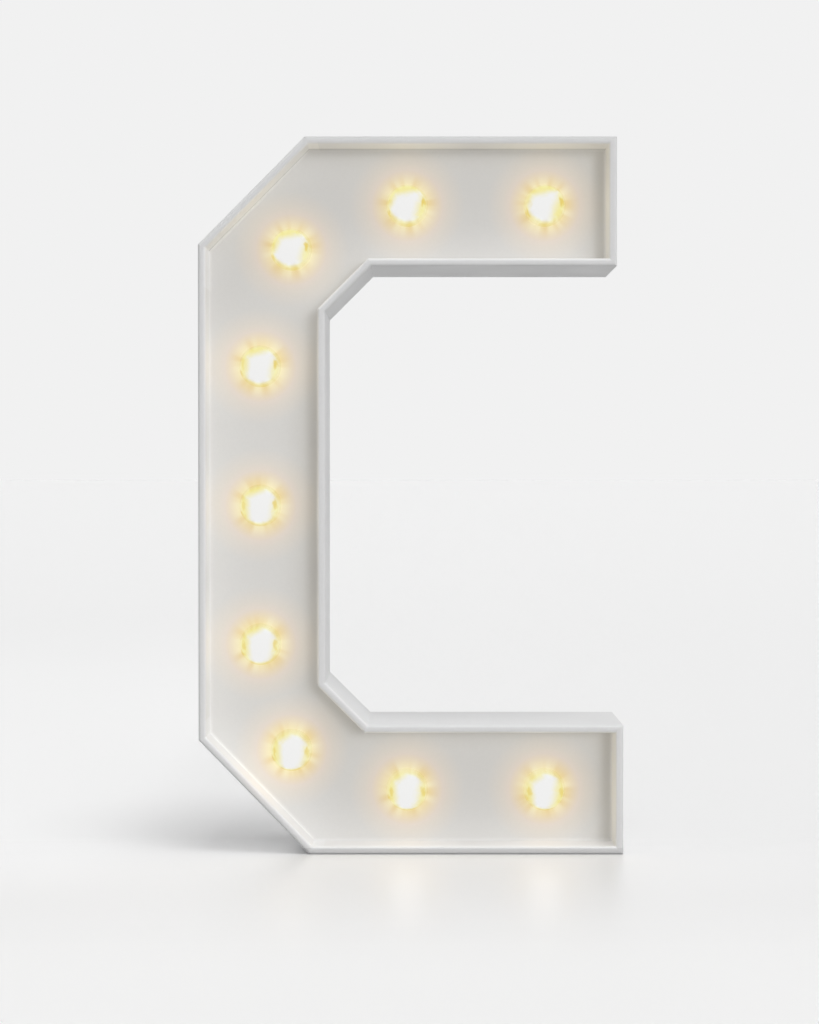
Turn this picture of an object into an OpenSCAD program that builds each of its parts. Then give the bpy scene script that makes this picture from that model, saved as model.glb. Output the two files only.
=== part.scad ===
// Light-up letter C: a moulded tray with nine clear bulb caps, a screwed back cover,
// two AAA cells behind a tilting door, and a slide switch. Sizes in millimetres.
// X runs across the letter, Z up, and the open front faces -Y.
// The origin is on the ground, under the middle of the letter.

/* [Letter] */
// Overall height
letter_h = 220; // [198:1:260]
// Overall width, to the end of the bottom arm
letter_w = 130.4; // [117:0.1:160]
// Overall depth, front rim to back cover
letter_d = 42; // [38:1:60]
// Width of the upright stroke
stem_w = 39; // [35:0.5:46]
// Height of each arm's stroke
arm_h = 39.7; // [35.5:0.1:46]
// How much the top arm ends before the bottom arm
top_arm_short = 2.2; // [0:0.1:8]
// Width of the cut at the top outer corner
top_cut_w = 32.7; // [28:0.1:36]
// Height of the cut at the top outer corner
top_cut_h = 33; // [28:0.1:36]
// Width of the cut at the bottom outer corner
bottom_cut_w = 34; // [28:0.1:36]
// Height of the cut at the bottom outer corner
bottom_cut_h = 35; // [30:0.1:37]
// Cut across the top inner corner
top_inner_cut = 14; // [10:0.5:18]
// Cut across the bottom inner corner
bottom_inner_cut = 13; // [10:0.5:18]

/* [Tray] */
// Thickness of the side wall, which is also the width of the rim
wall_t = 2.4; // [2:0.1:3]
// Depth of the bulb face behind the rim
face_recess = 12; // [11.5:0.5:14]
// Thickness of the bulb face
face_t = 2; // [1.6:0.1:2.4]
// Rounding of the rim's two edges
rim_r = 0.9; // [0.3:0.1:1.1]
// Inside rounding between side wall and face
cove_r = 1; // [0.6:0.1:1.6]
// Width of the ledge that the back cover sits on
ledge_w = 1.2; // [0.9:0.1:1.4]

/* [Bulbs] */
// Greatest diameter of a bulb cap
bulb_d = 12; // [10.5:0.1:13]
// Height of a bulb cap over the face
bulb_h = 9.5; // [8.5:0.1:10.5]
// Straight part of a bulb cap under its cut dome
bulb_neck = 3.4; // [2.4:0.1:4]
// Sides of the cut dome
bulb_sides = 12; // [8:1:12]
// Diameter of the flange on the face
flange_d = 13; // [12.6:0.1:16]
// Thickness of the flange
flange_t = 0.8; // [0.6:0.1:1.2]
// Diameter of the plug behind the flange
plug_d = 9; // [8.6:0.1:9.6]
// Gap round the plug in its hole
plug_gap = 0.1; // [0.05:0.05:0.2]
// Length of the plug behind the face's front
plug_l = 5; // [4.6:0.1:5.4]
// Left edge to the three stem bulbs
stem_bulb_x = 18.4; // [17:0.1:22]
// Distance between stem bulbs
stem_bulb_pitch = 43.2; // [38:0.1:44]
// Height of the middle stem bulb against the letter's middle
stem_bulb_shift = -3; // [-5:0.1:3]
// Left edge to the two corner bulbs
corner_bulb_x = 28; // [26:0.1:32]
// Top edge to the upper corner bulb
top_corner_drop = 33.6; // [31:0.1:38]
// Bottom edge to the lower corner bulb
bottom_corner_rise = 30.8; // [30:0.1:36]
// End of the bottom arm to the last bulb of each arm
arm_bulb_end = 23.7; // [21:0.1:28]
// Distance between the two bulbs of an arm
arm_bulb_pitch = 42.7; // [38:0.1:46]
// Top edge to the top arm's bulbs
top_bulb_drop = 20; // [18:0.1:22]
// Bottom edge to the bottom arm's bulbs
bottom_bulb_rise = 18.5; // [17:0.1:22]

/* [Lights] */
// Diameter of a light's lens
led_d = 5; // [4.6:0.1:5]
// Diameter of a light's flange
led_flange_d = 5.8; // [5.6:0.1:6]
// Thickness of a light's flange
led_flange_t = 1; // [0.8:0.1:1.2]
// Height of a light over its flange
led_h = 7.6; // [6.5:0.1:8.6]
// Distance between a light's two leads
lead_pitch = 2.54; // [2.3:0.01:2.8]
// Thickness of a lead
lead_t = 0.5; // [0.4:0.05:0.6]
// Length of a lead, flange to solder bead
lead_l = 3; // [2.6:0.1:3.4]
// Radius of a solder bead
bead_r = 1; // [0.9:0.05:1.1]
// Radius of a wire over its sleeve
wire_r = 0.6; // [0.5:0.05:0.7]

/* [Back cover] */
// Thickness of the cover
cover_t = 2; // [1.8:0.1:2.4]
// Gap round the cover in the tray
cover_gap = 0.15; // [0.1:0.05:0.25]
// Height of the locating lip behind the cover
lip_h = 3; // [2:0.1:4]
// Thickness of the locating lip
lip_t = 1.2; // [1:0.1:1.4]
// Radius of a screw post
post_r = 3.25; // [3:0.05:3.5]
// Thickness of the rib from a post to the wall
rib_t = 1.4; // [1.2:0.1:1.8]
// Outside of the letter to the middle of a post
post_inset = 7.5; // [7.5:0.1:8.5]
// Radius of a cover screw's shank
screw_r = 1; // [0.9:0.05:1.2]
// Radius of a cover screw's head
screw_head_r = 2.6; // [2.4:0.05:2.8]
// Length of a cover screw
screw_l = 10; // [8:0.5:14]
// Keyhole: radius of the entry hole
hanger_r = 4; // [3.5:0.1:4.5]
// Keyhole: width of the slot
hanger_slot = 4; // [3.4:0.1:4.4]
// Keyhole: rise of the slot over the entry hole
hanger_rise = 8; // [7:0.1:9]
// Keyhole: place across the letter
hanger_x = -6.5; // [-10:0.1:-3]
// Keyhole: top edge to the entry hole
hanger_drop = 24; // [20:0.1:26]

/* [Battery bay] */
// Diameter of an AAA cell
cell_d = 10.4; // [10:0.1:10.5]
// Length of an AAA cell with its nub
cell_l = 44.5; // [44:0.1:44.5]
// Diameter of a cell's nub
nub_d = 3.8; // [3.4:0.1:3.8]
// Height of a cell's nub
nub_h = 0.8; // [0.8:0.1:1]
// Gap between the two cells
cell_space = 0.4; // [0.3:0.1:0.6]
// Gap round a cell in its trough
cell_gap = 0.3; // [0.25:0.05:0.4]
// Thickness of the bay's walls
bay_wall = 1.8; // [1.6:0.1:2]
// Thickness of the bay's floor
bay_floor = 1.6; // [1.4:0.1:1.8]
// Thickness of the contact plates
plate_t = 0.4; // [0.3:0.05:0.5]
// Height of the contact dimple
dimple_h = 0.8; // [0.6:0.1:1]
// Length of a contact spring as fitted
spring_l = 4.6; // [4.4:0.1:5.4]
// Radius of a contact spring's wide end
spring_r = 2.9; // [2.6:0.1:3]
// Radius of a contact spring's narrow end
spring_tip_r = 1.9; // [1.6:0.1:2.2]
// Radius of the spring wire
spring_wire_r = 0.3; // [0.25:0.01:0.32]
// Curls of a contact spring
spring_curls = 3.5; // [3:0.5:4]

/* [Battery door] */
// Thickness of the door
door_t = 1.6; // [1.4:0.1:1.8]
// Gap round the door
door_gap = 0.3; // [0.25:0.05:0.4]
// Width of the door's seat on the bay's walls
door_seat = 0.9; // [0.7:0.05:1]
// Radius of the barrel at the hinged end
barrel_r = 1.2; // [1.1:0.05:1.25]
// Radius of the two hinge pins
pin_r = 0.6; // [0.5:0.05:0.65]
// Length of a hinge pin in the cover
pin_l = 1.4; // [1.2:0.1:1.6]
// Width of the springy tab at the free end
tab_w = 11; // [9:0.5:13]
// Length of the springy tab
tab_l = 10; // [8:0.5:12]
// Width of the slits beside the tab
slit_w = 0.8; // [0.6:0.1:1]

/* [Switch] */
// Length of the switch frame with its ears
frame_l = 21; // [20.5:0.5:22]
// Length of the switch body
body_l = 12; // [11.5:0.1:12.5]
// Width of the switch body
body_w = 6; // [5.8:0.1:6.4]
// Height of the switch body
body_h = 6; // [5.6:0.1:6.4]
// Thickness of the frame's sheet
sheet_t = 0.5; // [0.4:0.05:0.6]
// Distance between the ear holes
ear_pitch = 17; // [16.6:0.1:17.4]
// Radius of a switch screw's shank
ear_screw_r = 0.9; // [0.8:0.05:1]
// Length of a switch screw in the cover
ear_screw_l = 2.6; // [2.2:0.1:2.8]
// Travel of the knob, which is also the distance between terminals
travel = 3; // [2.8:0.05:3.2]
// Length of the knob along its travel
knob_l = 4; // [3.4:0.1:4.4]
// Width of the knob
knob_w = 3; // [2.6:0.1:3.2]
// Depth of the finger well round the knob
well_depth = 2.6; // [2.2:0.1:2.8]
// Length of the finger well
well_l = 13.6; // [12.6:0.1:14]
// Height of the finger well
well_h = 8; // [7:0.1:9]
// Thickness of the finger well's floor
well_floor = 1.4; // [1.2:0.1:1.6]
// Gap round the moving knob
knob_gap = 0.3; // [0.25:0.05:0.4]
// Distance between the switch frame and the battery bay
switch_gap = 2.4; // [1.5:0.1:4]

/* [Show] */
// Which sub-part to draw

/* [Hidden] */
$fn = 48;
eps = 0.01;
snug = 0.05;
arc_steps = 5;

// Outline of the letter in X and Z, anticlockwise seen from the front
left = -letter_w / 2;
right = letter_w / 2;
stem_right = left + stem_w;
arm_under = letter_h - arm_h;
outline = [
    [left + bottom_cut_w, 0],
    [right, 0],
    [right, arm_h],
    [stem_right + bottom_inner_cut, arm_h],
    [stem_right, arm_h + bottom_inner_cut],
    [stem_right, arm_under - top_inner_cut],
    [stem_right + top_inner_cut, arm_under],
    [right - top_arm_short, arm_under],
    [right - top_arm_short, letter_h],
    [left + top_cut_w, letter_h],
    [left, letter_h - top_cut_h],
    [left, bottom_cut_h],
];
corners = len(outline);

// Depths behind the front rim
face_back = face_recess + face_t;
cover_in = letter_d - cover_t;
door_in = letter_d - door_t;
seat_v = door_in - 0.15;
cell_v = door_in - 0.4 - cell_d / 2;
bay_v = cell_v - cell_d / 2 - cell_gap - bay_floor;
wire_v = face_recess + plug_l + lead_l;
well_v = letter_d - well_depth - well_floor;

// Bulbs from the end of the top arm, round the letter, to the end of the bottom arm
arm_bulb_2 = right - arm_bulb_end;
arm_bulb_1 = arm_bulb_2 - arm_bulb_pitch;
stem_mid = letter_h / 2 + stem_bulb_shift;
bulbs = [
    [arm_bulb_2, letter_h - top_bulb_drop],
    [arm_bulb_1, letter_h - top_bulb_drop],
    [left + corner_bulb_x, letter_h - top_corner_drop],
    [left + stem_bulb_x, stem_mid + stem_bulb_pitch],
    [left + stem_bulb_x, stem_mid],
    [left + stem_bulb_x, stem_mid - stem_bulb_pitch],
    [left + corner_bulb_x, bottom_corner_rise],
    [arm_bulb_1, bottom_bulb_rise],
    [arm_bulb_2, bottom_bulb_rise],
];
bulb_n = len(bulbs);

// Screw posts: an edge of the outline and the share of it that lies before the post
posts = [[1, 0.22], [3, 0.5], [4, 0.29], [5, 0.5], [7, 0.5], [9, 0.5], [10, 0.38], [11, 0.5]];

// Battery bay
pocket_r = cell_d / 2 + cell_gap;
cell_pitch = cell_d + cell_space;
bay_z = arm_h / 2;
bay_half = cell_pitch / 2 + pocket_r;
plate_in = plate_t + snug;
nub_at = plate_in + dimple_h + snug;
bay_l = nub_at + cell_l + spring_l + plate_in + 2 * snug;
bay_in_r = right - post_inset - post_r - 0.75 - bay_wall;
bay_in_l = bay_in_r - bay_l;
bay_out_l = bay_in_l - bay_wall;
upper_z = bay_z + cell_pitch / 2;
lower_z = bay_z - cell_pitch / 2;
plate_half = 0.34 * cell_d;
plate_low = cell_v - plate_half;
plate_high = cell_v + 0.2 * cell_d;
tab_half = 0.12 * cell_d;
tab_end = bay_v - 2;
tab_grip = 1;

// Battery door
cut_l = bay_in_l - door_seat;
cut_r = bay_in_r + door_seat;
cut_half = bay_half + door_seat;
door_l = cut_l + door_gap;
door_r = cut_r - door_gap;
door_half = cut_half - door_gap;
pivot_x = door_l + barrel_r;
pivot_v = letter_d - barrel_r;
nose_w = 0.72 * tab_w;
nose_l = 1;

// Switch
switch_x = bay_out_l - switch_gap - frame_l / 2;
switch_z = arm_h / 2;
on_shift = travel / 2;
base_t = 1.5;
base_v = well_v - body_h;
slider_l = body_l - travel - 1.4;
slider_v = well_v - sheet_t - 0.2;
slider_h = 2.2;
wiper_t = 0.4;
tail_l = 3.4;
tail_half = 0.75;
tail_v = base_v - tail_l;

function fy(v) = v - letter_d / 2;
function unit(v) = v / norm(v);
function turn_left(d) = [-d[1], d[0]];
function edge_dir(k) = unit(outline[(k + 1) % corners] - outline[k % corners]);
function edge_in(k) = turn_left(edge_dir(k));

// The outline moved inward by d, with mitred corners
function inset(d) = [
    for (i = [0:corners - 1])
        let (a = edge_in(i + corners - 1), b = edge_in(i))
        outline[i] + d * (a + b) / (1 + a * b)
];

// A point at a share of an edge, moved inward by d
function beside(k, share, d) =
    outline[k] + share * (outline[(k + 1) % corners] - outline[k]) + d * edge_in(k);

function arc(c, r, from, to, steps = arc_steps) = [
    for (i = [0:steps])
        let (a = from + (to - from) * i / steps)
        c + r * [cos(a), sin(a)]
];

// Direction of a path at one of its points, nearer to the shorter of its two sides
function lean(p, i) =
    let (
        a = p[i] - p[max(i - 1, 0)], b = p[min(i + 1, len(p) - 1)] - p[i],
        la = norm(a), lb = norm(b)
    )
    la == 0 ? b / lb : lb == 0 ? a / la : (a / la * lb + b / lb * la) / (la + lb);

// A smooth path through points, with n steps between neighbours
function smooth(p, n) = concat(
    [for (i = [0:len(p) - 2], s = [0:n - 1])
        let (
            b = p[i], c = p[i + 1], l = norm(c - b), t = s / n, u = 1 - t,
            turn = u * lean(p, i) - t * lean(p, i + 1)
        )
        b * (1 + 2 * t) * u * u + c * (1 + 2 * u) * t * t + l * t * u * turn],
    [p[len(p) - 1]]
);

// A flat shape in X and Z, drawn between two depths
module slab(v0, v1) {
    translate([0, fy(v1), 0]) rotate([90, 0, 0]) linear_extrude(v1 - v0) children();
}

module block(x0, x1, z0, z1, v0, v1) {
    translate([x0, fy(v0), z0]) cube([x1 - x0, v1 - v0, z1 - z0]);
}

// A round bar along the depth, whose radius can change from front to back
module rod(p, v0, v1, r, r_back = undef) {
    translate([p[0], fy(v0), p[1]]) rotate([-90, 0, 0])
        cylinder(h = v1 - v0, r1 = r, r2 = is_undef(r_back) ? r : r_back);
}

module bar_x(x0, x1, z, v, r) {
    translate([x0, fy(v), z]) rotate([0, 90, 0]) cylinder(h = x1 - x0, r = r);
}

// An upright bar, as long above the bay's middle as below it
module bar_z(x, v, half, r) {
    translate([x, fy(v), bay_z]) cylinder(h = 2 * half, r = r, center = true);
}

// A section of inset and depth pairs, swept round the whole outline
module outline_loop(section) {
    m = len(section);
    points = [for (q = section, p = inset(q[0])) [p[0], fy(q[1]), p[1]]];
    faces = [
        for (j = [0:m - 1], i = [0:corners - 1])
            let (a = j * corners, b = ((j + 1) % m) * corners, k = (i + 1) % corners)
            [a + i, b + i, b + k, a + k]
    ];
    polyhedron(points, faces, convexity = 8);
}

module tube(path, r, sides = 8) {
    last = len(path) - 1;
    aside = [0.36, 0.48, 0.8];
    points = [
        for (i = [0:last])
            let (
                t = unit(path[min(i + 1, last)] - path[max(i - 1, 0)]),
                a = unit(cross(t, aside)), b = cross(t, a)
            )
            for (k = [0:sides - 1])
                path[i] + r * (cos(360 * k / sides) * a + sin(360 * k / sides) * b)
    ];
    faces = concat(
        [[for (k = [0:sides - 1]) k]],
        [for (i = [0:last - 1], k = [0:sides - 1])
            let (n = (k + 1) % sides, a = i * sides, b = a + sides)
            each [[a + k, b + k, b + n], [a + k, b + n, a + n]]],
        [[for (k = [sides - 1:-1:0]) last * sides + k]]
    );
    polyhedron(points, faces, convexity = 10);
}

// Tray

wall_section = concat(
    arc([rim_r, rim_r], rim_r, 180, 270),
    arc([wall_t - rim_r, rim_r], rim_r, 270, 360),
    arc([wall_t + cove_r, face_recess - cove_r], cove_r, 180, 90),
    [
        [wall_t + cove_r, face_back],
        [wall_t, face_back],
        [wall_t, cover_in],
        [wall_t - ledge_w, cover_in],
        [wall_t - ledge_w, letter_d],
        [rim_r / 2, letter_d],
        [0, letter_d - rim_r / 2],
    ]
);

module post(s) {
    p = beside(s[0], s[1], post_inset);
    out = -edge_in(s[0]) * (post_inset - wall_t / 2);
    aside = edge_dir(s[0]) * rib_t / 2;
    rod(p, face_back - face_t / 2, cover_in, post_r);
    slab(face_back - face_t / 2, cover_in - lip_h - 1)
        polygon([p - aside, p + aside, p + out + aside, p + out - aside]);
}

module front_shell() {
    color("white") difference() {
        union() {
            outline_loop(wall_section);
            slab(face_recess, face_back) polygon(inset(wall_t + cove_r / 2));
            for (s = posts) post(s);
        }
        for (p = bulbs) rod(p, face_recess - 1, face_back + 1, plug_d / 2 + plug_gap);
        for (s = posts)
            rod(beside(s[0], s[1], post_inset), cover_in - screw_l, cover_in + 1, screw_r + snug);
    }
}

// Bulb caps and lights, drawn with +Z out of the face

module on_face(i) {
    translate([bulbs[i][0], fy(face_recess), bulbs[i][1]]) rotate([90, 0, 0]) children();
}

// The dome is cut in rows of triangles, each row turned by half a side against the row below
dome_rows = 4;

module cut_dome() {
    n = bulb_sides;
    rings = concat(
        [[flange_t / 2, bulb_d / 2, 0]],
        [for (k = [0:dome_rows - 1])
            let (a = 90 * k / dome_rows)
            [bulb_neck + (bulb_h - bulb_neck) * sin(a), bulb_d / 2 * cos(a), k / 2]]
    );
    points = concat(
        [for (q = rings, i = [0:n - 1])
            let (a = 360 * (i + q[2]) / n)
            [q[1] * cos(a), q[1] * sin(a), q[0]]],
        [[0, 0, bulb_h]]
    );
    faces = concat(
        [[for (i = [0:n - 1]) i]],
        [for (i = [0:n - 1]) let (k = (i + 1) % n) [i, n + i, n + k, k]],
        [for (r = [1:dome_rows - 1], i = [0:n - 1])
            let (k = (i + 1) % n, a = r * n, b = a + n)
            each [[a + i, b + i, a + k], [b + i, b + k, a + k]]],
        [for (i = [0:n - 1])
            let (a = dome_rows * n)
            [a + i, len(points) - 1, a + (i + 1) % n]]
    );
    polyhedron(points, faces);
}

module bulb(i) {
    barb = -face_t - snug;
    color("khaki") on_face(i) difference() {
        union() {
            cut_dome();
            cylinder(h = flange_t, r = flange_d / 2);
            translate([0, 0, -plug_l]) cylinder(h = plug_l + eps, r = plug_d / 2);
            rotate_extrude()
                polygon([[plug_d / 2 - 0.5, barb], [plug_d / 2 + 0.3, barb],
                    [plug_d / 2 + 0.3, barb - 0.3], [plug_d / 2 - 0.5, barb - 1.6]]);
        }
        translate([0, 0, -plug_l - 1])
            cylinder(h = 1 + led_flange_t + led_h + 0.8, r = led_flange_d / 2 + snug);
    }
}

function bulb_way(i) = unit(bulbs[min(i + 1, bulb_n - 1)] - bulbs[max(i - 1, 0)]);
function bulb_aside(i) = turn_left(bulb_way(i));

module led(i) {
    n = bulb_aside(i);
    color("gold") on_face(i) rotate(atan2(n[1], n[0])) translate([0, 0, -plug_l]) {
        rotate_extrude() polygon(concat(
            [[0, 0], [led_flange_d / 2, 0], [led_flange_d / 2, led_flange_t], [led_d / 2, led_flange_t]],
            arc([0, led_flange_t + led_h - led_d / 2], led_d / 2, 0, 90)
        ));
        for (x = [-lead_pitch / 2, lead_pitch / 2]) {
            translate([x - lead_t / 2, -lead_t / 2, -lead_l + bead_r - 0.3])
                cube([lead_t, lead_t, lead_l - bead_r + 0.3 + eps]);
            translate([x, 0, -lead_l]) difference() {
                sphere(r = bead_r);
                rotate([90, 0, 0]) cylinder(h = 3 * bead_r, r = wire_r + snug, center = true);
            }
        }
    }
}

// Wiring: each bus runs straight through the solder beads and bends between the lights

run_half = 2.2;
function bus_stop(i, side) =
    let (p = bulbs[i] + side * lead_pitch / 2 * bulb_aside(i), d = run_half * bulb_way(i))
    [for (s = [-1, 1]) let (q = p + s * d) [q[0], fy(wire_v), q[1]]];

joint_x = switch_x - travel;
joint_v = wire_v + 3 * wire_r;
bus_joint = [joint_x, fy(joint_v), switch_z];
joint_way = [run_half, 0, 0];

module wire_positive() {
    path = concat(
        [for (i = [0:bulb_n - 3]) each bus_stop(i, -1)],
        [bus_joint - joint_way, bus_joint + joint_way],
        [for (i = [bulb_n - 2:bulb_n - 1]) each bus_stop(i, -1)]
    );
    color("firebrick") tube(smooth(path, 4), wire_r);
}

module wire_negative() {
    end_x = bay_in_r - plate_in - wire_r - snug;
    path = concat(
        [for (i = [0:bulb_n - 1]) each bus_stop(i, 1)],
        [[arm_bulb_2 + 2 * run_half, fy(wire_v), bottom_bulb_rise + lead_pitch / 2],
         [end_x - wire_r, fy((wire_v + tab_end) / 2), upper_z - run_half],
         [end_x, fy(tab_end + tab_grip), upper_z + tab_half]]
    );
    color("dimgray") tube(smooth(path, 4), wire_r);
}

module wire_switch() {
    start_x = bay_in_r - plate_in - wire_r - snug;
    under = bay_v - wire_r - 0.5;
    low_z = lower_z - 2 * tab_half - wire_r;
    end_z = switch_z - tail_half - wire_r - snug;
    path = [
        [start_x, fy(tab_end + tab_grip), lower_z + tab_half],
        [start_x - wire_r, fy(under), lower_z - tab_half],
        [start_x - 2 * run_half, fy(under), low_z],
        [bay_in_l + bay_l / 2, fy(under), low_z],
        [bay_out_l, fy(under), low_z],
        [switch_x + 2 * run_half, fy((2 * under + tail_v) / 3), (2 * low_z + end_z) / 3],
        [switch_x, fy(tail_v - wire_r), end_z - 2 * wire_r],
        [switch_x, fy(tail_v + tail_l / 3), end_z - snug],
        [switch_x, fy(tail_v + 2 * tail_l / 3), end_z],
    ];
    color("firebrick") tube(smooth(path, 4), wire_r);
}

module resistor() {
    low = joint_v + wire_r + snug;
    mid = (low + tail_v) / 2;
    half = 0.38 * (tail_v - low);
    cap = half / 2;
    p = [joint_x, switch_z];
    color("tan") {
        rod(p, low, tail_v - snug, lead_t / 2);
        rod(p, mid - half, mid + half, 1.4 * wire_r);
        rod(p, mid - half, mid - half + cap, 1.75 * wire_r);
        rod(p, mid + half - cap, mid + half, 1.75 * wire_r);
    }
}

// Back cover with the bay, the switch block and the keyhole

module lip() {
    slab(cover_in - lip_h, cover_in + eps) difference() {
        polygon(inset(wall_t + cover_gap));
        polygon(inset(wall_t + cover_gap + lip_t));
    }
}

module bay_hollow() {
    for (z = [lower_z, upper_z]) bar_x(bay_in_l, bay_in_r, z, cell_v, pocket_r);
    block(bay_in_l, bay_in_r, bay_z - bay_half, bay_z + bay_half, cell_v, letter_d + 1);
    block(cut_l, cut_r, bay_z - cut_half, bay_z + cut_half, seat_v, letter_d + 1);
    for (s = [[bay_in_l, lower_z], [bay_in_l, upper_z],
              [bay_in_r - plate_in - 0.15, lower_z], [bay_in_r - plate_in - 0.15, upper_z]])
        block(s[0], s[0] + plate_in + 0.15, s[1] - tab_half - 0.2, s[1] + tab_half + 0.2,
            bay_v - 1, cell_v);
    bar_z(pivot_x, pivot_v, cut_half, barrel_r + door_gap);
    bar_z(pivot_x, pivot_v, cut_half + pin_l + snug, pin_r + snug);
    block(cut_r - eps, cut_r + nose_l - door_gap + 0.3, bay_z - nose_w / 2 - door_gap,
        bay_z + nose_w / 2 + door_gap, seat_v, letter_d + 1);
    rod([cut_r + nose_l, bay_z], letter_d - 1, letter_d + 1, 0.45 * tab_w);
}

module switch_hollow() {
    block(switch_x - well_l / 2, switch_x + well_l / 2, switch_z - well_h / 2, switch_z + well_h / 2,
        letter_d - well_depth, letter_d + 1);
    block(switch_x - knob_l / 2 - on_shift - knob_gap, switch_x + knob_l / 2 + on_shift + knob_gap,
        switch_z - knob_w / 2 - knob_gap, switch_z + knob_w / 2 + knob_gap, well_v - 1, letter_d);
    for (s = [-1, 1])
        rod([switch_x + s * ear_pitch / 2, switch_z], well_v - 1, well_v + ear_screw_l + 0.4,
            ear_screw_r + snug);
}

module keyhole() {
    z = letter_h - hanger_drop;
    rod([hanger_x, z], cover_in - 1, letter_d + 1, hanger_r);
    rod([hanger_x, z + hanger_rise], cover_in - 1, letter_d + 1, hanger_slot / 2);
    block(hanger_x - hanger_slot / 2, hanger_x + hanger_slot / 2, z, z + hanger_rise,
        cover_in - 1, letter_d + 1);
}

module screw_seat(s) {
    p = beside(s[0], s[1], post_inset);
    rod(p, cover_in - 1, letter_d, screw_r + 0.35);
    rod(p, letter_d - 0.4 - screw_head_r + screw_r, letter_d - 0.4 + eps,
        screw_r + 0.15, screw_head_r + 0.15 + eps);
    rod(p, letter_d - 0.4, letter_d + 1, screw_head_r + 0.15);
}

module back_cover() {
    half_block = frame_l / 2 + 0.4;
    color("whitesmoke") difference() {
        union() {
            slab(cover_in, letter_d) polygon(inset(wall_t - ledge_w + cover_gap));
            lip();
            block(bay_out_l, bay_in_r + bay_wall, bay_z - bay_half - bay_wall, bay_z + bay_half + bay_wall,
                bay_v, cover_in + eps);
            block(switch_x - half_block, switch_x + half_block, switch_z - well_h / 2 - 1.2,
                switch_z + well_h / 2 + 1.2, well_v, cover_in + eps);
        }
        bay_hollow();
        switch_hollow();
        keyhole();
        for (s = posts) screw_seat(s);
    }
}

// Screw drawn with its head up, for the cover

module cover_screws() {
    top = letter_d - 0.1;
    edge = screw_head_r / 10;
    arm = 0.58 * screw_head_r;
    color("silver") for (s = posts)
        translate(let (p = beside(s[0], s[1], post_inset)) [p[0], fy(top), p[1]]) rotate([-90, 0, 0])
            difference() {
                rotate_extrude() polygon([
                    [0, 0], [screw_head_r, 0], [screw_head_r, -edge],
                    [screw_r, screw_r - screw_head_r - edge], [screw_r, 1.5 * screw_r - screw_l],
                    [0, -screw_l],
                ]);
                for (a = [0, 90]) rotate(a)
                    translate([-arm, -arm / 5, -0.6 * arm]) cube([2 * arm, 0.4 * arm, arm]);
            }
}

// Battery door with a barrel and two pins, a springy tab and its nose

module battery_door() {
    color("whitesmoke") difference() {
        union() {
            block(pivot_x, door_r, bay_z - door_half, bay_z + door_half, door_in, letter_d);
            bar_z(pivot_x, pivot_v, door_half, barrel_r);
            bar_z(pivot_x, pivot_v, cut_half + pin_l, pin_r);
            block(door_r - eps, door_r + nose_l, bay_z - nose_w / 2, bay_z + nose_w / 2,
                door_in, letter_d - 0.5);
        }
        for (s = [-1, 1])
            block(door_r - tab_l, door_r + 1, bay_z + s * (tab_w + slit_w) / 2 - slit_w / 2,
                bay_z + s * (tab_w + slit_w) / 2 + slit_w / 2, door_in - 1, letter_d + 1);
        for (k = [0:3])
            block(door_r - 6.5 + 1.4 * k, door_r - 5.8 + 1.4 * k, bay_z - nose_w / 2, bay_z + nose_w / 2,
                letter_d - 0.6, letter_d + 1);
    }
}

// Slide switch

module switch_frame() {
    color("silver") difference() {
        union() {
            block(switch_x - frame_l / 2, switch_x + frame_l / 2,
                switch_z - body_w / 2, switch_z + body_w / 2, well_v - sheet_t, well_v);
            for (z = [switch_z - body_w / 2, switch_z + body_w / 2 - sheet_t])
                block(switch_x - body_l / 2, switch_x + body_l / 2, z, z + sheet_t, base_v, well_v);
        }
        block(switch_x - knob_l / 2 - on_shift - knob_gap, switch_x + knob_l / 2 + on_shift + knob_gap,
            switch_z - knob_w / 2 - knob_gap, switch_z + knob_w / 2 + knob_gap, well_v - 1, well_v + 1);
        for (s = [-1, 1])
            rod([switch_x + s * ear_pitch / 2, switch_z], well_v - 1, well_v + 1, ear_screw_r + 0.2);
    }
}

module switch_base() {
    half = body_w / 2 - sheet_t - snug;
    color("sienna") difference() {
        block(switch_x - body_l / 2, switch_x + body_l / 2, switch_z - half, switch_z + half,
            base_v, base_v + base_t);
        for (k = [-1:1])
            block(switch_x + k * travel - 0.25 - snug, switch_x + k * travel + 0.25 + snug,
                switch_z - tail_half - snug, switch_z + tail_half + snug, base_v - 1, base_v + base_t + 1);
    }
}

module switch_terminals() {
    color("gold") for (k = [-1:1]) {
        x = switch_x + k * travel;
        block(x - 0.25, x + 0.25, switch_z - tail_half, switch_z + tail_half, tail_v, base_v + base_t + eps);
        block(x - 0.6, x + 0.6, switch_z - 1.2, switch_z + 1.2, base_v + base_t, base_v + base_t + 0.4);
    }
}

module switch_knob() {
    x = switch_x - on_shift;
    half = body_w / 2 - sheet_t - 0.2;
    color("dimgray") difference() {
        union() {
            block(x - slider_l / 2, x + slider_l / 2, switch_z - half, switch_z + half,
                slider_v - slider_h, slider_v);
            block(x - knob_l / 2, x + knob_l / 2, switch_z - knob_w / 2, switch_z + knob_w / 2,
                slider_v - eps, letter_d - 0.4);
        }
        for (k = [-1:1])
            block(x + k * 1.1 - 0.3, x + k * 1.1 + 0.3, switch_z - knob_w, switch_z + knob_w,
                letter_d - 0.8, letter_d);
    }
}

module switch_wiper() {
    x = switch_x - on_shift;
    low = slider_v - slider_h - wiper_t;
    color("gold") {
        block(x - travel / 2 - 0.9, x + travel / 2 + 0.9, switch_z - 0.9, switch_z + 0.9, low, low + wiper_t);
        for (s = [-1, 1])
            block(x + s * travel / 2 - 0.4, x + s * travel / 2 + 0.4, switch_z - 0.6, switch_z + 0.6,
                base_v + base_t + 0.5, low + eps);
    }
}

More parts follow.
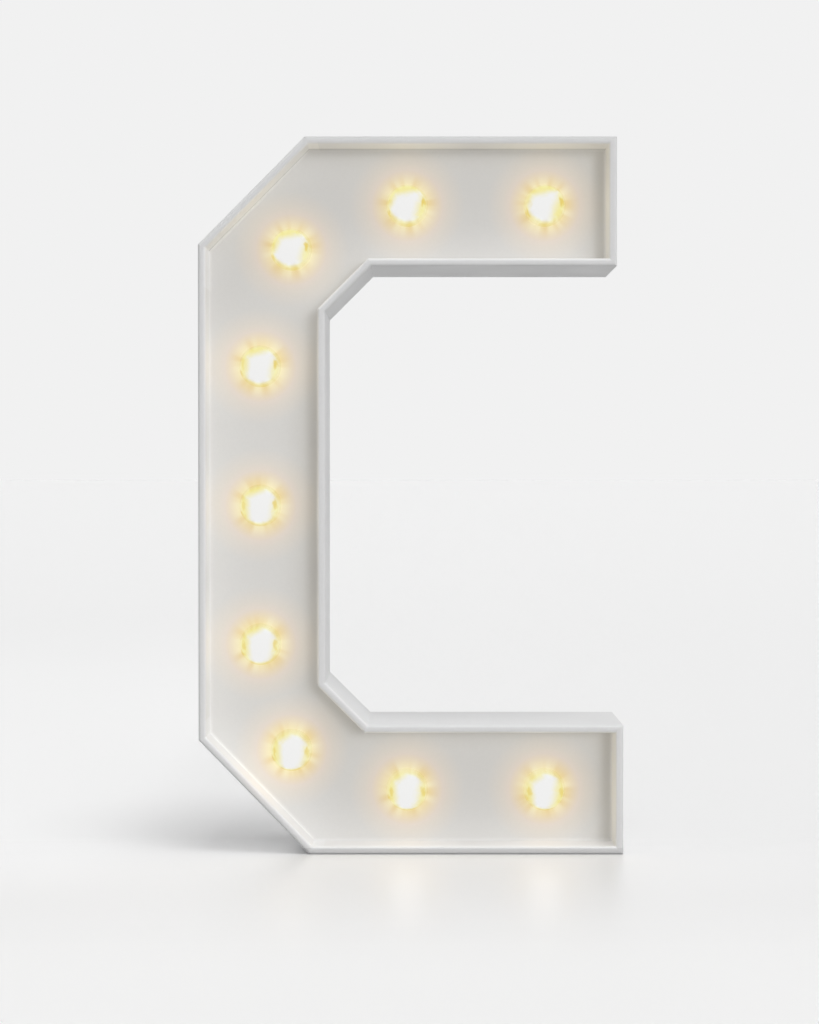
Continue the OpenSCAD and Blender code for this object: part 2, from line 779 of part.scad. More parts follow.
module switch_screws() {
    under = well_v - sheet_t;
    head = 1.3 * ear_screw_r;
    color("silver") for (s = [-1, 1]) {
        p = [switch_x + s * ear_pitch / 2, switch_z];
        rod(p, under - eps, well_v + ear_screw_l, ear_screw_r);
        difference() {
            rod(p, under - head, under, 1.5 * ear_screw_r, 1.9 * ear_screw_r);
            block(p[0] - 2 * head, p[0] + 2 * head, p[1] - head / 6, p[1] + head / 6,
                under - 2 * head, under - 0.6 * head);
        }
    }
}

// Battery contacts: plates against the bay's end walls, with tabs through its floor

module pad(x, z) {
    block(x, x + plate_t, z - plate_half, z + plate_half, plate_low, plate_high);
    block(x, x + plate_t, z - tab_half, z + tab_half, tab_end, plate_low + eps);
}

module dimple(x, z, way) {
    translate([x, fy(cell_v), z]) rotate([0, 90 * way, 0])
        cylinder(h = dimple_h, r1 = nub_d / 2, r2 = nub_d / 4);
}

bridge_x = bay_in_l + snug;
far_x = bay_in_r - plate_in;

module contact_bridge() {
    color("silver") {
        pad(bridge_x, lower_z);
        pad(bridge_x, upper_z);
        block(bridge_x, bridge_x + plate_t, lower_z, upper_z, cell_v, plate_high);
        dimple(bridge_x + plate_t - eps, upper_z, 1);
    }
}

module contact_positive() {
    color("silver") {
        pad(far_x, lower_z);
        dimple(far_x + eps, lower_z, -1);
    }
}

module contact_negative() {
    color("silver") pad(far_x, upper_z);
}

// A tapering coil from its plate to the flat end of its cell
spring_steps = 10;
function coil(x, z, way) = [
    for (i = [0:spring_curls * spring_steps])
        let (
            t = i / (spring_curls * spring_steps), a = 360 * spring_curls * t,
            r = spring_r + (spring_tip_r - spring_r) * t,
            along = spring_wire_r + snug + (spring_l - 2 * spring_wire_r - 2 * snug) * t
        )
        [x + way * along, fy(cell_v) + r * cos(a), z + r * sin(a)]
];

function self_gap(p, wire, skip) = min([
    for (i = [0:len(p) - 1 - skip], j = [i + skip:len(p) - 1]) norm(p[i] - p[j]) - 2 * wire
]);

module spring_lower() {
    color("silver") tube(coil(bridge_x + plate_t, lower_z, 1), spring_wire_r, 6);
}

module spring_upper() {
    color("silver") tube(coil(far_x, upper_z, -1), spring_wire_r, 6);
}

echo(spring_self_gap = self_gap(coil(0, 0, 1), spring_wire_r, spring_steps / 2));

// AAA cells, drawn with the nub along +X from the flat end

module cell() {
    r = cell_d / 2;
    top = cell_l - nub_h;
    color("slategray") rotate([0, 90, 0]) rotate_extrude() polygon([
        [0, 0], [r - 0.9, 0], [r - 0.3, 0.2], [r, 0.6], [r, top - 0.6],
        [r - 0.4, top - 0.2], [r - 1.2, top], [nub_d / 2, top],
        [nub_d / 2, cell_l - 0.2], [nub_d / 2 - 0.3, cell_l], [0, cell_l],
    ]);
}

module cell_upper() {
    translate([bay_in_l + nub_at + cell_l, fy(cell_v), upper_z]) mirror([1, 0, 0]) cell();
}

module cell_lower() {
    translate([bay_in_r - nub_at - cell_l, fy(cell_v), lower_z]) cell();
}

front_shell();
back_cover();
battery_door();
for (i = [1:bulb_n]) bulb(i - 1);
for (i = [1:bulb_n]) led(i - 1);
wire_positive();
wire_negative();
wire_switch();
resistor();
switch_frame();
switch_base();
switch_terminals();
switch_knob();
switch_wiper();
switch_screws();
contact_bridge();
contact_positive();
contact_negative();
spring_lower();
spring_upper();
cell_upper();
cell_lower();
cover_screws();
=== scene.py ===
import math

import bpy
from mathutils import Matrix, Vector


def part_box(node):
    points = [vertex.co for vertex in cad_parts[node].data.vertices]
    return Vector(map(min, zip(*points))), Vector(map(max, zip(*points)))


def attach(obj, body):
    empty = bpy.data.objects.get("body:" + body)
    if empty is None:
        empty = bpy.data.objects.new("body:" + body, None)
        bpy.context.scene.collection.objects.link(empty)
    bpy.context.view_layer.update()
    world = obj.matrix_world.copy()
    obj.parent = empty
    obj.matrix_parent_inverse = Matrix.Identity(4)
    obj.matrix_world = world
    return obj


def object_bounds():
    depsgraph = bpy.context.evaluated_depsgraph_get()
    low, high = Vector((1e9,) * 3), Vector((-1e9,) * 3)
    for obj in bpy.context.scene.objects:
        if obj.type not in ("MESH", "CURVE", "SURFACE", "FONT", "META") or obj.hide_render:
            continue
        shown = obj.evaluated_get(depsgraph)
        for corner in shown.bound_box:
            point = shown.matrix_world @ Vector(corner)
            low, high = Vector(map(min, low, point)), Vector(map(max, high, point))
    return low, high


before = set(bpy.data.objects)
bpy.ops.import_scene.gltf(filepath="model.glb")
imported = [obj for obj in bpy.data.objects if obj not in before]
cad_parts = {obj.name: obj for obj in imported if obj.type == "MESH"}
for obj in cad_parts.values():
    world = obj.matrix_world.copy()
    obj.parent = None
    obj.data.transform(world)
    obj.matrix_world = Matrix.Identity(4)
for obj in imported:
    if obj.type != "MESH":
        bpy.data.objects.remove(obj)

MM = 0.001
solid_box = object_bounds()
scene = bpy.context.scene


# Shader building

class Value:
    """A shader socket that takes part in Python sums."""

    def __init__(self, nodes, socket):
        self.nodes, self.socket = nodes, socket

    def math(self, operation, first, second=0.0):
        return self.nodes.node("ShaderNodeMath", {"operation": operation}, {0: first, 1: second})

    def __add__(self, other):
        return self.math("ADD", self, other)

    def __radd__(self, other):
        return self.math("ADD", other, self)

    def __sub__(self, other):
        return self.math("SUBTRACT", self, other)

    def __rsub__(self, other):
        return self.math("SUBTRACT", other, self)

    def __mul__(self, other):
        return self.math("MULTIPLY", self, other)

    def __rmul__(self, other):
        return self.math("MULTIPLY", other, self)

    def __truediv__(self, other):
        return self.math("DIVIDE", self, other)

    def __rtruediv__(self, other):
        return self.math("DIVIDE", other, self)

    def __lt__(self, other):
        return self.math("LESS_THAN", self, other)

    def __gt__(self, other):
        return self.math("GREATER_THAN", self, other)

    def least(self, other):
        return self.math("MINIMUM", self, other)

    def most(self, other):
        return self.math("MAXIMUM", self, other)

    def root(self):
        return self.math("SQRT", self)

    def size(self):
        return self.math("ABSOLUTE", self)

    def sine(self):
        return self.math("SINE", self)

    def cosine(self):
        return self.math("COSINE", self)


# Parts of a noise's range that are spread out: nearly all of it, and its steeper middle
NOISE_WIDE = (0.3, 0.7)
NOISE_MIDDLE = (0.35, 0.65)


class Nodes:
    """One node tree, with a method that adds any node."""

    def __init__(self, tree):
        self.tree = tree
        tree.nodes.clear()

    def add(self, kind, settings=None, sockets=None):
        node = self.tree.nodes.new(kind)
        for key, setting in (settings or {}).items():
            if key == "stops":
                self.set_stops(node.color_ramp, setting)
            else:
                setattr(node, key, setting)
        for key, wanted in (sockets or {}).items():
            if isinstance(wanted, Value):
                self.tree.links.new(wanted.socket, node.inputs[key])
            else:
                node.inputs[key].default_value = wanted
        return node

    def node(self, kind, settings=None, sockets=None, out=0):
        return Value(self, self.add(kind, settings, sockets).outputs[out])

    @staticmethod
    def set_stops(ramp, stops):
        while len(ramp.elements) > 1:
            ramp.elements.remove(ramp.elements[-1])
        for index, (place, colour) in enumerate(stops):
            stop = ramp.elements[0] if index == 0 else ramp.elements.new(place)
            stop.position, stop.color = place, colour

    def place(self):
        return self.node("ShaderNodeTexCoord", out="Object")

    def facing(self):
        return self.node("ShaderNodeNewGeometry", out="True Normal")

    def parts(self, vector):
        split = self.add("ShaderNodeSeparateXYZ", None, {0: vector})
        return [Value(self, socket) for socket in split.outputs]

    def vector(self, operation, first, second=(0, 0, 0), out=0):
        return self.node("ShaderNodeVectorMath", {"operation": operation}, {0: first, 1: second}, out)

    def scaled(self, vector, by):
        start = vector if isinstance(vector, Value) else vector[:3]
        return self.node("ShaderNodeVectorMath", {"operation": "SCALE"}, {0: start, "Scale": by})

    def noise(self, where, scale, detail=2.0, roughness=0.5):
        return self.node("ShaderNodeTexNoise", None,
                         {"Vector": where, "Scale": scale, "Detail": detail, "Roughness": roughness})

    def drawn(self, where, stretch, detail=2.0, roughness=0.5):
        """Noise that is drawn out, with its own scale along each axis."""
        return self.noise(self.vector("MULTIPLY", where, stretch), 1.0, detail, roughness)

    def cells(self, where, scale):
        return self.node("ShaderNodeTexVoronoi", None, {"Vector": where, "Scale": scale})

    def span(self, value, low, high, start=0.0, end=1.0, smooth=True):
        """The value carried from one range to another, held at both ends."""
        return self.node("ShaderNodeMapRange", {"interpolation_type": "SMOOTHSTEP" if smooth else "LINEAR"},
                         {0: value, 1: low, 2: high, 3: start, 4: end})

    def spread(self, noise, start=0.0, end=1.0, smooth=True):
        """Noise carried to a range."""
        return self.span(noise, *NOISE_WIDE, start, end, smooth)

    def fade(self, value, low, high, start=1.0):
        """From the start value at the low end to none at the high end."""
        return self.span(value, low, high, start, 0.0)

    def ramp(self, value, stops):
        return self.node("ShaderNodeValToRGB", {"stops": stops}, {0: value})

    def mix(self, share, first, second):
        return self.node("ShaderNodeMix", {"data_type": "RGBA"}, {0: share, 6: first, 7: second}, 2)

    def choose(self, share, first, second):
        return self.node("ShaderNodeMix", {"data_type": "VECTOR"}, {0: share, 4: first, 5: second}, 1)

    def bump(self, height, strength, distance, below=None):
        sockets = {"Height": height, "Strength": strength, "Distance": distance}
        if below is not None:
            sockets["Normal"] = below
        return self.node("ShaderNodeBump", None, sockets)

    def ray_is(self, *names):
        """One for rays of any of the named kinds."""
        path = self.add("ShaderNodeLightPath")
        kinds = [Value(self, path.outputs[f"Is {name} Ray"]) for name in names]
        found = kinds[0]
        for kind in kinds[1:]:
            found = found.most(kind)
        return found


def grey(level):
    return (level, level, level, 1.0)


def rgb(red, green, blue):
    return (red, green, blue, 1.0)


def finish(name, build, lights_up=False):
    """A material whose build function returns the sockets of its one shader."""
    material = bpy.data.materials.new(name)
    material.use_nodes = True
    if lights_up:
        material.cycles.emission_sampling = "NONE"
    nodes = Nodes(material.node_tree)
    shader = nodes.node("ShaderNodeBsdfPrincipled", None, build(nodes))
    nodes.add("ShaderNodeOutputMaterial", None, {"Surface": shader})
    return material


# Places read from the solids

BULB_HEIGHT = 9.5 * MM
bulb_names = [f"bulb_{number}" for number in range(1, 10)]
light_names = [f"led_{number}" for number in range(1, 10)]


def middle(node):
    low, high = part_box(node)
    return (low + high) / 2


bulb_middles = [middle(name) for name in bulb_names]
face_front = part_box("bulb_1")[0].y + BULB_HEIGHT
plug_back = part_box("bulb_1")[1].y
letter_front = solid_box[0].y
letter_top = solid_box[1].z


# Camera

CAMERA_PLACE = (-0.45 * MM, -752.5 * MM, 117.0 * MM)
CAMERA_DIP = math.radians(0.931)
CAMERA_LENS = 84.0
CAMERA_SENSOR = 36.0
CAMERA_REACH = 200.0


def add_camera():
    data = bpy.data.cameras.new("camera")
    data.sensor_fit = "VERTICAL"
    data.sensor_height = CAMERA_SENSOR
    data.lens = CAMERA_LENS
    data.clip_end = CAMERA_REACH
    camera = bpy.data.objects.new("camera", data)
    camera.location = CAMERA_PLACE
    camera.rotation_euler = (math.radians(90) - CAMERA_DIP, 0, 0)
    scene.collection.objects.link(camera)
    scene.camera = camera


# Light and backdrop

BACKDROP = 0.88
SKY_LOW = 0.36
SKY_TOP = 0.48
# Far lights: where each comes from, its power and its spread in degrees
FAR_LIGHTS = {
    "key": ((0.32, -1.0, 0.12), 0.57, 17.0),
    "fill": ((0.50, -0.85, 0.15), 0.70, 40.0),
    "overhead": ((0.13, -0.25, 0.945), 1.10, 26.0),
    "behind": ((0.0, 1.0, 0.0), 1.05, 12.0),
}
BULB_LIGHT = rgb(1.0, 0.80, 0.52)
BULB_POWER = 0.0008
BULB_LIGHT_SIZE = 4.0 * MM
BULB_LIGHT_AHEAD = 5.0 * MM


def add_sky():
    world = bpy.data.worlds.new("studio")
    scene.world = world
    world.use_nodes = True
    nodes = Nodes(world.node_tree)
    height = nodes.parts(nodes.node("ShaderNodeTexCoord", out="Generated"))[2]
    level = SKY_LOW + (SKY_TOP - SKY_LOW) * height.most(0.0)
    lit = nodes.node("ShaderNodeCombineColor", None, {0: level, 1: level, 2: level})
    colour = nodes.mix(nodes.ray_is("Camera", "Glossy", "Transmission"), lit, grey(BACKDROP))
    nodes.add("ShaderNodeOutputWorld", None,
              {"Surface": nodes.node("ShaderNodeBackground", None, {"Color": colour, "Strength": 1.0})})


def add_far_light(name, come_from, power, spread):
    data = bpy.data.lights.new(name, "SUN")
    data.energy = power
    data.angle = math.radians(spread)
    light = bpy.data.objects.new(name, data)
    light.rotation_euler = Vector(come_from).to_track_quat("Z", "Y").to_euler()
    light.visible_glossy = False
    scene.collection.objects.link(light)


def add_bulb_lights():
    """A weak lamp in each bulb, which the clear pieces round it don't block."""
    for number, point in enumerate(bulb_middles, 1):
        data = bpy.data.lights.new(f"bulb_light_{number}", "POINT")
        data.energy = BULB_POWER
        data.color = BULB_LIGHT[:3]
        data.shadow_soft_size = BULB_LIGHT_SIZE
        light = bpy.data.objects.new(f"bulb_light_{number}", data)
        light.location = (point.x, face_front - BULB_LIGHT_AHEAD, point.z)
        scene.collection.objects.link(light)
    for name in bulb_names + light_names:
        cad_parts[name].visible_shadow = False


# Floor

FLOOR_SIZE = 80.0
FLOOR_SEEN = grey(0.97)
FLOOR_BOUNCE = grey(0.38)
FLOOR_GRAIN = 400.0
FLOOR_GRAIN_ROUGH = 0.03
# Roughness at the letter's foot and well ahead of it, and how far ahead that is
ROUGH_FOOT, ROUGH_AHEAD = 0.30, 0.80
ROUGH_REACH = 170 * MM
# Sheen over the paper: its share at the foot, how far ahead of the front it ends and is full, and how far
# behind it has ended
SHEEN = 0.6
SHEEN_ROUGH = 0.24
SHEEN_END, SHEEN_FULL, SHEEN_BEHIND = 180 * MM, 5 * MM, 40 * MM
# Painted light: how much the floor is raised near the letter and well ahead of it, and the reach between
# them
LIFT_NEAR, LIFT_AHEAD = 0.013, 0.062
LIFT_FROM, LIFT_FULL = 60 * MM, 180 * MM
# Painted light left of the letter, offsetting the long shadow of the low lights: where it is full and none
# across, and where it begins and fades along the floor
LIFT_ASIDE = 0.05
ASIDE_FULL, ASIDE_NONE = -108 * MM, -68 * MM
ASIDE_BEGIN = (-120 * MM, -20 * MM)
ASIDE_FADE = (200 * MM, 1200 * MM)


def floor_paper(nodes):
    where = nodes.place()
    grain = nodes.noise(where, FLOOR_GRAIN)
    aside, ahead, _ = nodes.parts(where)
    rough = nodes.span(ahead, letter_front - ROUGH_REACH, letter_front, ROUGH_AHEAD, ROUGH_FOOT)
    # painted light on the floor, rising well ahead of the letter
    painted_lift = nodes.span(ahead, letter_front - LIFT_FULL, letter_front - LIFT_FROM, LIFT_AHEAD, LIFT_NEAR)
    # painted light left of the letter, offsetting the long shadow of the low lights
    painted_lift_aside = nodes.fade(aside, ASIDE_FULL, ASIDE_NONE, LIFT_ASIDE)
    painted_lift_aside = painted_lift_aside * nodes.span(ahead, *ASIDE_BEGIN) * nodes.fade(ahead, *ASIDE_FADE)
    sheen = nodes.span(ahead, letter_front - SHEEN_END, letter_front - SHEEN_FULL, 0.0, SHEEN)
    shown = nodes.ray_is("Camera", "Glossy", "Transmission")
    return {
        "Base Color": nodes.mix(shown, FLOOR_BOUNCE, FLOOR_SEEN),
        "Emission Color": nodes.scaled((1.0, 1.0, 1.0), (painted_lift + painted_lift_aside) * shown),
        "Emission Strength": 1.0,
        "Roughness": rough + nodes.spread(grain, 0.0, FLOOR_GRAIN_ROUGH),
        "IOR": 1.33,
        "Coat Weight": sheen * nodes.fade(ahead, letter_front, letter_front + SHEEN_BEHIND),
        "Coat Roughness": SHEEN_ROUGH,
    }


def select_nothing():
    bpy.ops.object.select_all(action="DESELECT")


def add_floor():
    select_nothing()
    bpy.ops.mesh.primitive_plane_add(size=FLOOR_SIZE, location=(0, 0, 0))
    floor = bpy.context.object
    floor.name = "floor"
    floor.data.materials.append(finish("floor_paper", floor_paper))


# Rays of light painted round the bulbs

RAY_CROWD = 2.15
RAY_CHANGE = 6.0
RAY_RANGE = (0.32, 0.68)
RAY_LIGHT = rgb(0.085, 0.145, 0.190)


def from_nearest_bulb(nodes, where):
    """The way across the face from the nearest bulb's middle, and its length."""
    flat = nodes.vector("MULTIPLY", where, (1, 0, 1))
    way = length = None
    for point in bulb_middles:
        one = nodes.vector("SUBTRACT", flat, (point.x, 0, point.z))
        far = nodes.vector("LENGTH", one, out=1)
        if way is None:
            way, length = one, far
        else:
            way = nodes.choose(far < length, way, one)
            length = length.least(far)
    return way, length


def varied(nodes, where, pattern):
    """Noise over a pattern that starts elsewhere on each bulb."""
    return nodes.noise(nodes.vector("ADD", pattern, nodes.scaled(where, RAY_CHANGE)), 1.0, 1.0)


def rays_round(nodes, where, way):
    """Streaks that change round the bulb and hardly along its rays, from none to full."""
    turn = nodes.scaled(nodes.vector("NORMALIZE", way), RAY_CROWD)
    return nodes.span(varied(nodes, where, turn), *RAY_RANGE)


# Moulded white plastic

CLOUD_SCALE, SPECK_SCALE, POLISH_SCALE, PIT_SCALE = 14.0, 1500.0, 60.0, 2600.0
CLOUD_SHARE, SPECK_SHARE = 0.6, 0.4
SHADE_DARK, SHADE_LIGHT = 0.985, 1.012
SATIN_ROUGH = (0.36, 0.44)
SPECK_BUMP = (0.10, 0.05 * MM)


def satin(nodes, where, level):
    """Colour, roughness and fine grain of the white moulding."""
    cloud = nodes.noise(where, CLOUD_SCALE, 3.0)
    speck = nodes.noise(where, SPECK_SCALE, 1.0)
    tone = nodes.spread(cloud, 0.0, CLOUD_SHARE) + nodes.span(speck, *NOISE_MIDDLE, 0.0, SPECK_SHARE)
    colour = nodes.mix(tone, grey(level * SHADE_DARK), grey(level * SHADE_LIGHT))
    rough = nodes.spread(nodes.noise(where, POLISH_SCALE), *SATIN_ROUGH)
    return colour, rough, nodes.bump(speck, *SPECK_BUMP)


TRAY_WHITE = 0.80
# Painted shade: share taken off the colour of the recessed face, the corner under the top wall, the rim's
# top and foot edges and the inner walls that face up
FACE_SHADE, CORNER_SHADE, EDGE_SHADE, SILL_SHADE = 0.115, 0.20, 0.15, 0.06
# Depths that tell apart the face, the corner in front of it that carries painted shade, and the rim
FACE_BEHIND, FACE_AHEAD, CORNER_AHEAD, RIM_DEEP = 0.5 * MM, 0.2 * MM, 1.2 * MM, 1.0 * MM
# Heights of the painted shade bands along the rim's top and its foot
TOP_SHADE_BAND, FOOT_SHADE_BAND = 0.7 * MM, 2.0 * MM
FACES_FRONT, FACES_DOWN, FACES_UP = -0.7, -0.5, 0.5
CORNER_TURN = 0.3
# Warm light painted on the face as emission: its reach, its colours outwards from the bulb, and where the
# rays end
HALO_REACH = 20.0 * MM
HALO = [
    (0.29, rgb(0.095, 0.010, 0.0)), (0.40, rgb(0.105, 0.014, 0.0)), (0.52, rgb(0.090, 0.020, 0.0)),
    (0.66, rgb(0.045, 0.015, 0.0)), (0.90, rgb(0.0, 0.0, 0.0))]
RAYS_END = (6.5 * MM, 11.0 * MM)
# Painted warm light round each bulb, mixed into the face's colour: its colour, where its near and wide parts
# end, and the share of the wide part
PAINTED_POOL = rgb(0.715, 0.665, 0.325)
PAINTED_POOL_END, PAINTED_POOL_WIDE_END = (5.0 * MM, 12.5 * MM), (10.0 * MM, 19.0 * MM)
PAINTED_POOL_WIDE = 0.08
# Painted light from the bulbs: on the face, on the inner walls that face a bulb, and more on those walls
# where they face away from the lamps
PAINTED_FACE_LIGHT = rgb(0.050, 0.044, 0.034)
PAINTED_WALL_LIGHT = rgb(0.100, 0.105, 0.120)
PAINTED_SHADED_WALL_LIGHT = rgb(0.140, 0.128, 0.100)


# The tray's white moulding, with painted shade on its recessed face, crease, rim edges and upward inner
# walls, and painted light from the bulbs on its face and inner walls
def tray_white(nodes):
    where = nodes.place()
    way, far = from_nearest_bulb(nodes, where)
    _, depth, up = nodes.parts(where)
    turned = nodes.facing()
    side, back, rise = nodes.parts(turned)
    to_bulb = (0.0 - nodes.vector("DOT_PRODUCT", turned, nodes.vector("NORMALIZE", way), 1)).most(0.0)
    ahead = depth < face_front + FACE_BEHIND
    # the recessed face, which gets painted shade and painted light
    on_face = ahead * (depth > face_front - FACE_AHEAD) * (back < FACES_FRONT)
    # painted shade in the crease where the downward inner walls meet the face
    corner = ahead * (depth > face_front - CORNER_AHEAD) * nodes.span(to_bulb, 0.0, CORNER_TURN)
    corner = corner * (rise < FACES_DOWN)
    # painted shade along the rim's outer edges at the top and at the foot
    rim = depth < letter_front + RIM_DEEP
    rim_edge_shade = rim * (up > letter_top - TOP_SHADE_BAND).most(up < FOOT_SHADE_BAND)
    # painted shade on the inner walls that face up
    sill_shade = ahead * to_bulb * (rise > FACES_UP)
    # all painted shade, as one factor on the colour
    painted_shade = 1.0 - FACE_SHADE * on_face - CORNER_SHADE * corner - EDGE_SHADE * rim_edge_shade - SILL_SHADE * sill_shade
    colour, rough, grain = satin(nodes, where, TRAY_WHITE)
    # painted warm light round the bulbs, in the colour of the face and inner walls
    painted_pool = nodes.fade(far, *PAINTED_POOL_END).most(nodes.fade(far, *PAINTED_POOL_WIDE_END, PAINTED_POOL_WIDE)) * ahead
    streaks = nodes.scaled(RAY_LIGHT, rays_round(nodes, where, way) * nodes.fade(far, *RAYS_END))
    # painted halo and rays of light on the face
    halo = nodes.vector("ADD", nodes.ramp(far / HALO_REACH, HALO), streaks)
    # inner walls that face left or down, away from the lamps, get more painted light
    shaded = (0.0 - side).most(0.0) + (0.0 - rise).most(0.0)
    # painted light on the inner walls that face a bulb
    wall = nodes.scaled(nodes.mix(shaded, PAINTED_WALL_LIGHT, PAINTED_SHADED_WALL_LIGHT), ahead * to_bulb)
    inside = nodes.vector("ADD", wall, nodes.scaled(PAINTED_FACE_LIGHT, on_face))
    return {
        # painted warm light round the bulbs over the colour with painted shade
        "Base Color": nodes.mix(painted_pool, nodes.scaled(colour, painted_shade), PAINTED_POOL),
        "Roughness": rough,
        "Normal": grain,
        # painted light: halo and rays ahead of the face, and light on the face and inner walls
        "Emission Color": nodes.vector("ADD", nodes.scaled(halo, ahead), inside),
        "Emission Strength": 1.0,
        "IOR": 1.46,
    }


COVER_WHITE = 0.78
PIT_GREY = grey(0.75)
PIT_RANGE = (0.2, 0.9)
PIT_BUMP = (0.16, 0.06 * MM)
COVER_ROUGHER = 0.08


def cover_white(nodes):
    where = nodes.place()
    colour, rough, grain = satin(nodes, where, COVER_WHITE)
    pits = nodes.cells(where, PIT_SCALE)
    return {
        "Base Color": nodes.mix(nodes.span(pits, *PIT_RANGE), colour, PIT_GREY),
        "Roughness": rough + COVER_ROUGHER,
        "Normal": nodes.bump(pits, *PIT_BUMP, grain),
    }


# Clear lit bulbs

CORE = grey(0.85)
PALE = rgb(0.87, 0.795, 0.350)
EDGE = rgb(0.845, 0.735, 0.40)
AMBER = rgb(0.775, 0.61, 0.160)
UNLIT = rgb(0.03, 0.03, 0.02)
# Bulbs shine brighter in mirrored rays, so that the floor shows them
MIRRORED = grey(1.15)
LOWEST_BULB, HIGHEST_BULB = 20 * MM, 200 * MM
LEFT_BULB, RIGHT_BULB = -45 * MM, 42 * MM
# Cuts that bound the white core: the turn of each, and its distance from the bulb's middle in millimetres.
# HIGH is the change from low to high on the letter, and ACROSS the change from its left to its right.
UPPER_TURN, UPPER_TURN_HIGH = math.radians(125), math.radians(-24)
UPPER_FAR, UPPER_FAR_HIGH = 4.4, -1.5
LEFT_TURN, LEFT_TURN_HIGH = math.radians(185), math.radians(-35)
LEFT_TURN_FROM = 0.6
LEFT_FAR, LEFT_FAR_HIGH, LEFT_FAR_ACROSS = 3.0, 0.7, 0.7
RIGHT_TURN = math.radians(-15)
RIGHT_FAR, RIGHT_FAR_ACROSS = 4.2, -1.5
RIGHT_SOFT = 0.65
DOME_FAR = 5.35 * MM
DOME_CRISP = 1.8
CORE_EDGE = (-1.3 * MM, 1.5 * MM)
EDGE_BEGIN = (5.2 * MM, 6.3 * MM)
EDGE_STREAKS = (4.0 * MM, 6.0 * MM)
# Uneven bound of the core: how fast it changes from facet to facet, and by how many millimetres
FACET_CHANGE, FACET_WOBBLE = 1.8, 0.3
# Uneven edges of the amber spots: the scale of the noise, and its reach in millimetres
STRAY_SCALE, STRAY = 420.0, 0.5
# Amber flecks of light painted in the bulb's glow: place across, above the face and up from the bulb's
# middle, half widths across and up,
# and strength low and high on the letter
SPOTS = [(4.9, 6.0, 0.3, 0.8, 1.5, 0.65, 1.0), (-5.6, 2.6, -2.5, 0.9, 1.2, 0.8, 0.9),
         (-4.9, 6.4, 0.0, 0.7, 1.4, 0.7, 0.2), (0.3, 1.2, -6.0, 2.6, 0.9, 0.3, 0.45)]
SPOT_DEEP = 2.2
SPOT_END = 1.8


def past_cut(x, z, turn, far):
    """How far a place lies past a straight cut, from its turn and its distance in millimetres."""
    along, up = (turn.cosine(), turn.sine()) if isinstance(turn, Value) else (math.cos(turn), math.sin(turn))
    return x * along + z * up - far * MM


def spot(nodes, place, at, half):
    """A soft spot round a place, from one in its middle to none outside."""
    far = 0.0
    for along, middle_along, half_along in zip(place, at, half):
        step = (along - middle_along * MM) / (half_along * MM)
        far = far + step * step
    return nodes.fade(far, 0.0, SPOT_END)


def bulb_clear(nodes):
    where = nodes.place()
    way, far = from_nearest_bulb(nodes, where)
    x, _, z = nodes.parts(way)
    bulb_x, _, bulb_z = nodes.parts(nodes.vector("SUBTRACT", where, way))
    high = nodes.span(bulb_z, LOWEST_BULB, HIGHEST_BULB, smooth=False)
    right = nodes.span(bulb_x, LEFT_BULB, RIGHT_BULB, smooth=False)
    sparkle = varied(nodes, where, nodes.scaled(nodes.facing(), FACET_CHANGE))
    wobble = nodes.spread(sparkle, -FACET_WOBBLE, FACET_WOBBLE, False) * MM
    upper_turn = UPPER_TURN + UPPER_TURN_HIGH * high
    left_turn = LEFT_TURN + nodes.span(high, LEFT_TURN_FROM, 1.0, 0.0, LEFT_TURN_HIGH)
    upper_cut = past_cut(x, z, upper_turn, UPPER_FAR + UPPER_FAR_HIGH * high)
    left_cut = past_cut(x, z, left_turn, LEFT_FAR + LEFT_FAR_HIGH * high + LEFT_FAR_ACROSS * right)
    right_cut = RIGHT_SOFT * past_cut(x, z, RIGHT_TURN, RIGHT_FAR + RIGHT_FAR_ACROSS * right)
    dome_cut = DOME_CRISP * (far - DOME_FAR)
    outside = dome_cut.most(upper_cut).most(left_cut).most(right_cut) + wobble
    light = nodes.mix(nodes.span(outside, *CORE_EDGE), CORE, PALE)
    light = nodes.mix(nodes.span(far, *EDGE_BEGIN), light, EDGE)
    streak = (rays_round(nodes, where, way) - 0.5) * nodes.span(far, *EDGE_STREAKS)
    light = nodes.vector("ADD", light, nodes.scaled(RAY_LIGHT, streak))
    stray = nodes.spread(nodes.noise(where, STRAY_SCALE), -STRAY, STRAY, False) * MM
    place = (x + stray, face_front - nodes.parts(where)[1], z - stray)
    for across, above, up, half_across, half_up, low_share, high_share in SPOTS:
        found = spot(nodes, place, (across, above, up), (half_across, SPOT_DEEP, half_up))
        light = nodes.mix(found * (low_share + (high_share - low_share) * high), light, AMBER)
    return {
        "Base Color": UNLIT,
        "Roughness": nodes.spread(sparkle, 0.30, 0.40),
        "Specular IOR Level": 0.0,
        "Emission Color": nodes.mix(nodes.ray_is("Glossy"), light, MIRRORED),
        "Emission Strength": 1.0,
        "IOR": 1.49,
    }


# Lights, wires and resistor behind the face: colours are pairs, mixed by noise

TINNED = (grey(0.46), grey(0.68))
LENS = (rgb(0.90, 0.72, 0.34), rgb(0.96, 0.82, 0.48))
LENS_GLOW = rgb(0.60, 0.42, 0.16)
LENS_ROUGH = 0.10
SMEAR_SCALE = 900.0


def lens_and_leads(nodes):
    """A clear warm lens inside the bulb's plug, and tinned leads behind it."""
    where = nodes.place()
    lead = nodes.parts(where)[1] > plug_back
    smear = nodes.noise(where, SMEAR_SCALE, 3.0)
    tinned = nodes.mix(nodes.spread(smear), *TINNED)
    lens = nodes.mix(nodes.span(smear, *NOISE_MIDDLE), *LENS)
    return {
        "Base Color": nodes.mix(lead, lens, tinned),
        "Metallic": lead,
        "Roughness": LENS_ROUGH + lead * nodes.spread(smear, 0.15, 0.40),
        "Emission Color": nodes.mix(lead, LENS_GLOW, grey(0.0)),
        "Emission Strength": 1.0,
        "Normal": nodes.bump(smear, 0.15, 0.04 * MM),
    }


